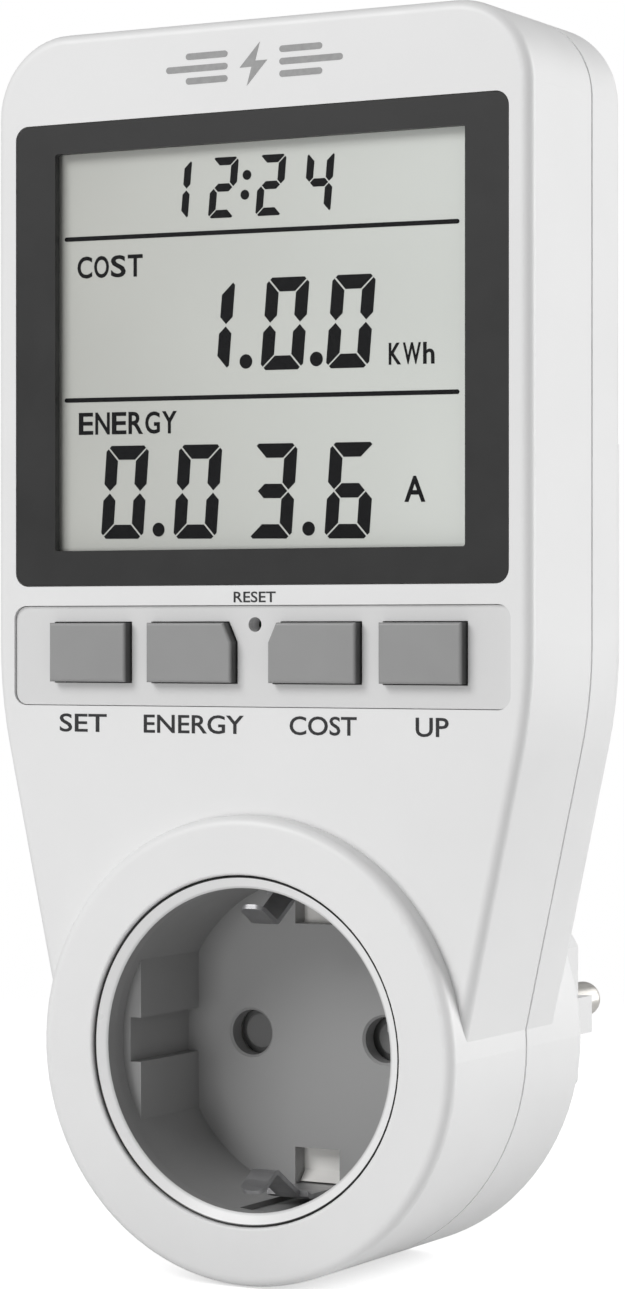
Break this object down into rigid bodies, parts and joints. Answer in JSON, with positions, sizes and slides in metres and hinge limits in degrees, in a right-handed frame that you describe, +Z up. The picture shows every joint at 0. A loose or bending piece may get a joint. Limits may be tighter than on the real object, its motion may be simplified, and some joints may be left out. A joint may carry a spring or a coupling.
{
  "type": "plug-in power meter",
  "caption": "Plug-in energy meter with a segment display and keys above a round earthed mains socket, and a matching plug on its back.",
  "frame": {"origin": "midway between the plug pins, on the plug's end face", "axes": "+Z up towards the display end, +Y backwards along the plug pins into the wall, the display and socket face -Y"},
  "size_m": [0.0742, 0.0805, 0.1534],
  "materials": {
    "case_white": "fine satin moulding texture",
    "key_grey": "satin",
    "panel_grey": "smooth satin",
    "bezel_dark": "smooth, faint gloss",
    "clear_pane": "clear polished",
    "lcd_grey": "matt polariser over grey-green reflector",
    "socket_grey": "satin moulded",
    "ring_white": "satin",
    "shutter_grey": "satin",
    "plug_white": "satin moulded",
    "nickel": "nickel plated",
    "spring_steel": "bright",
    "brass": "stamped",
    "copper_alloy": "stamped",
    "board_green": "solder mask",
    "chip_black": "moulded epoxy",
    "film_yellow": "cast box",
    "can_black": "sleeved can",
    "disc_blue": "dipped coating",
    "resistor_tan": "lacquer",
    "cell_green": "shrink sleeve",
    "can_silver": "drawn can",
    "rubber_grey": "layered silicone",
    "holder_black": "moulded",
    "carrier_cream": "moulded heat-resistant resin",
    "cable_grey": "flat cable",
    "wire_brown": "insulated wire",
    "wire_blue": "insulated wire",
    "button_black": "moulded"
  },
  "bodies": {
    "case": {"front_shell": "case_white", "rear_shell": "case_white", "case_screws": "spring_steel", "display_bezel": "bezel_dark", "display_pane": "clear_pane", "lcd_cell": "lcd_grey", "lcd_holder": "holder_black", "contact_strip_upper": "rubber_grey", "contact_strip_lower": "rubber_grey", "key_panel": "panel_grey", "main_board": "board_green", "main_board_screws": "spring_steel", "display_driver": "chip_black", "crystal": "can_silver", "backup_battery": "cell_green", "power_board": "board_green", "power_board_screws": "spring_steel", "suppression_capacitor": "film_yellow", "metering_chip": "chip_black", "optocoupler": "chip_black", "smoothing_capacitor": "can_black", "varistor": "disc_blue", "fusible_resistor": "resistor_tan", "board_link": "cable_grey", "socket_ring": "ring_white", "socket_well": "socket_grey", "shutter_spring": "spring_steel", "contact_carrier": "carrier_cream", "carrier_screws": "spring_steel", "contact_neutral": "brass", "contact_line": "brass", "line_lug": "brass", "shunt": "copper_alloy", "plug_pin_neutral": "nickel", "plug_pin_line": "nickel", "plug_base": "plug_white", "plug_base_screws": "spring_steel", "socket_earth_leaves": "spring_steel", "plug_earth_clips": "spring_steel", "earth_rivet": "brass", "lead_line_in": "wire_brown", "lead_line_out": "wire_brown", "lead_neutral": "wire_blue", "switch_body_set": "chip_black", "switch_body_energy": "chip_black", "switch_body_cost": "chip_black", "switch_body_up": "chip_black", "switch_body_reset": "chip_black"},
    "set_key": {"key_set": "key_grey", "switch_plunger_set": "button_black"},
    "energy_key": {"key_energy": "key_grey", "switch_plunger_energy": "button_black"},
    "cost_key": {"key_cost": "key_grey", "switch_plunger_cost": "button_black"},
    "up_key": {"key_up": "key_grey", "switch_plunger_up": "button_black"},
    "reset_button": {"switch_plunger_reset": "button_black"},
    "shutter_plate": {"shutter": "shutter_grey"}
  },
  "joints": [
    {"name": "set_key_press", "type": "slide", "parent": "case", "child": "set_key", "axis": [0, 1, 0], "range_m": [0, 0.0004], "stiffness_N_per_m": 1500},
    {"name": "energy_key_press", "type": "slide", "parent": "case", "child": "energy_key", "axis": [0, 1, 0], "range_m": [0, 0.0004], "stiffness_N_per_m": 1500},
    {"name": "cost_key_press", "type": "slide", "parent": "case", "child": "cost_key", "axis": [0, 1, 0], "range_m": [0, 0.0004], "stiffness_N_per_m": 1500},
    {"name": "up_key_press", "type": "slide", "parent": "case", "child": "up_key", "axis": [0, 1, 0], "range_m": [0, 0.0004], "stiffness_N_per_m": 1500},
    {"name": "reset_press", "type": "slide", "parent": "case", "child": "reset_button", "axis": [0, 1, 0], "range_m": [0, 0.0003], "stiffness_N_per_m": 1500},
    {"name": "shutter_turn", "type": "hinge", "parent": "case", "child": "shutter_plate", "pos_m": [0, -0.0388, 0], "axis": [0, 1, 0], "range_deg": [0, 40], "stiffness_Nm_per_rad": 0.01}
  ]
}
